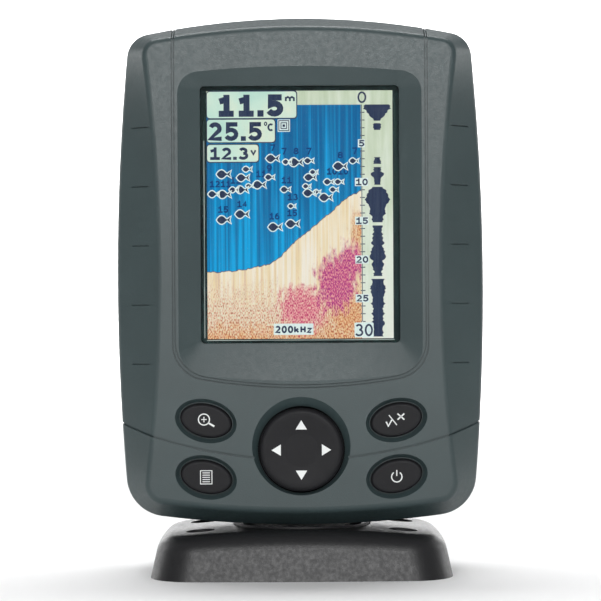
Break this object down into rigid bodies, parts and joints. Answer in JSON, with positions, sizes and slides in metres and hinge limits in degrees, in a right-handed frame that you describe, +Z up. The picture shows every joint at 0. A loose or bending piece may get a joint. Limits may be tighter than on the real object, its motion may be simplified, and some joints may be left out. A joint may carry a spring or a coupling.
{
  "type": "fish finder",
  "caption": "Portable fish finder with a portrait colour screen, oval rubber keys and a rocker disc, on a low base that lets the head tilt back and swivel.",
  "frame": {"origin": "on the mounting surface, on the swivel axis, at the middle of the base", "axes": "+Z up, the screen faces -Y, +X to the viewer's right"},
  "size_m": [0.104, 0.062, 0.1579],
  "materials": {
    "housing": "fine matt texture, dark green-grey",
    "seal_rubber": "soft, black",
    "window": "clear, polished",
    "display": "lit colour picture under a polarising film",
    "diffuser": "milky white",
    "steel": "zinc plated",
    "flex_film": "amber film",
    "key_rubber": "matt silicone rubber",
    "mount_plastic": "fine matt texture, black",
    "socket_plastic": "semi-gloss, black",
    "contact_brass": "plated",
    "board": "green solder mask",
    "component": "moulded black",
    "wire": "insulated"
  },
  "bodies": {
    "base": {"base_shell": "mount_plastic", "base_plate": "mount_plastic", "base_plate_screws": "steel"},
    "turret": {"swivel_turret": "mount_plastic", "tilt_pin": "steel", "pin_clips": "steel", "friction_washers": "steel", "tilt_springs": "steel", "swivel_bolt": "steel", "swivel_washer": "steel", "swivel_spring_washer": "steel"},
    "head": {"front_housing": "housing", "rear_housing": "housing", "housing_seal": "seal_rubber", "window_seal": "seal_rubber", "power_socket_seal": "seal_rubber", "transducer_socket_seal": "seal_rubber", "display_window": "window", "lcd_glass": "display", "backlight_panel": "diffuser", "board_screws": "steel", "housing_screws": "steel", "lcd_frame": "steel", "lcd_flex_cable": "flex_film", "keypad_mat": "key_rubber", "power_socket": "socket_plastic", "transducer_socket": "socket_plastic", "power_socket_nut": "socket_plastic", "transducer_socket_nut": "socket_plastic", "power_pins": "contact_brass", "transducer_pins": "contact_brass", "dome_switches": "contact_brass", "main_board": "board", "board_chips": "component", "sonar_transformer": "component", "capacitors": "component", "buzzer": "component", "power_connector": "component", "transducer_connector": "component", "power_wires": "wire", "transducer_wires": "wire"},
    "zoom_key": {"zoom_key": "key_rubber"},
    "menu_key": {"menu_key": "key_rubber"},
    "enter_key": {"enter_key": "key_rubber"},
    "power_key": {"power_key": "key_rubber"},
    "disc_gimbal": {"nav_pivot": "mount_plastic"},
    "disc": {"nav_disc": "key_rubber"}
  },
  "joints": [
    {"name": "swivel", "type": "hinge", "parent": "base", "child": "turret", "pos_m": [0, 0, 0.0102], "axis": [0, 0, 1], "range_deg": [-60, 60]},
    {"name": "head_tilt", "type": "hinge", "parent": "turret", "child": "head", "pos_m": [0, 0.004, 0.024], "axis": [-1, 0, 0], "range_deg": [0, 40]},
    {"name": "zoom_key_press", "type": "slide", "parent": "head", "child": "zoom_key", "axis": [0, 1, 0], "range_m": [0, 0.0006], "stiffness_N_per_m": 600},
    {"name": "menu_key_press", "type": "slide", "parent": "head", "child": "menu_key", "axis": [0, 1, 0], "range_m": [0, 0.0006], "stiffness_N_per_m": 600},
    {"name": "enter_key_press", "type": "slide", "parent": "head", "child": "enter_key", "axis": [0, 1, 0], "range_m": [0, 0.0006], "stiffness_N_per_m": 600},
    {"name": "power_key_press", "type": "slide", "parent": "head", "child": "power_key", "axis": [0, 1, 0], "range_m": [0, 0.0006], "stiffness_N_per_m": 600},
    {"name": "disc_up_down", "type": "hinge", "parent": "head", "child": "disc_gimbal", "pos_m": [0, -0.018, 0.0359], "axis": [1, 0, 0], "range_deg": [-2, 2], "stiffness_Nm_per_rad": 0.5},
    {"name": "disc_left_right", "type": "hinge", "parent": "disc_gimbal", "child": "disc", "pos_m": [0, -0.018, 0.0359], "axis": [0, 0, 1], "range_deg": [-2, 2], "stiffness_Nm_per_rad": 0.5}
  ]
}
